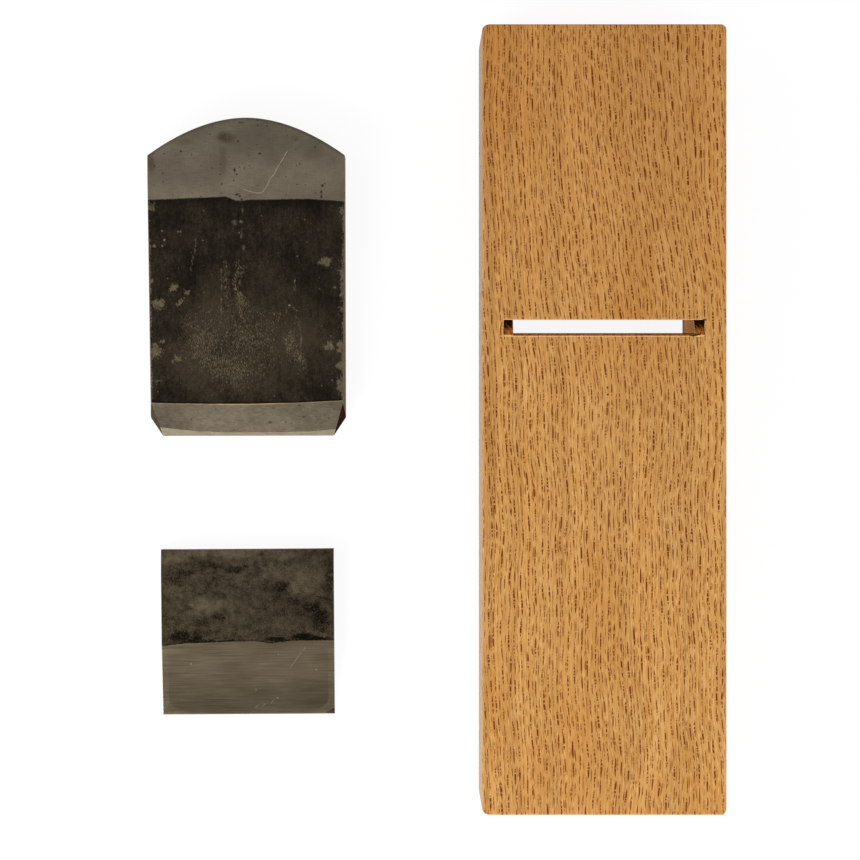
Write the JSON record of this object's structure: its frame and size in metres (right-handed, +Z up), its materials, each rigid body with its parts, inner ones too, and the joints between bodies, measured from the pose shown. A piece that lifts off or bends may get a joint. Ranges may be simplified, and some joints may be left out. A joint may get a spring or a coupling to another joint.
{
  "type": "japanese kanna plane",
  "caption": "Japanese smoothing plane taken apart: oak block sole up with mouth, throat and pin, round-headed laminated blade and chipbreaker laid beside it.",
  "frame": {"origin": "middle of the whole layout in plan, on the table that the pieces lie on", "axes": "+Y along the block from its tail to its struck end, +X from the blade towards the block, +Z up, out of the sole"},
  "size_m": [0.2036, 0.2728, 0.0364],
  "materials": {
    "oak_block": "planed white oak, dark ray flecks, oiled honey colour",
    "rod_steel": "drawn steel rod",
    "forged_iron": "soft iron with dark forge scale, ground bright at the head and the bevel",
    "hard_steel": "polished hard steel face and edge",
    "breaker_iron": "soft iron, dark forge scale at the back, brushed bright in front",
    "breaker_steel": "ground hard steel strip"
  },
  "bodies": {
    "dai": {"dai_body": "oak_block", "retaining_pin": "rod_steel"},
    "blade": {"blade_iron": "forged_iron", "blade_steel": "hard_steel"},
    "chipbreaker": {"chipbreaker_iron": "breaker_iron", "chipbreaker_steel": "breaker_steel"}
  },
  "joints": [
    {"name": "blade_lift", "type": "slide", "parent": "dai", "child": "blade", "axis": [0, 0, 1], "range_m": [0, 0.06]},
    {"name": "chipbreaker_lift", "type": "slide", "parent": "dai", "child": "chipbreaker", "axis": [0, 0, 1], "range_m": [0, 0.06]}
  ]
}
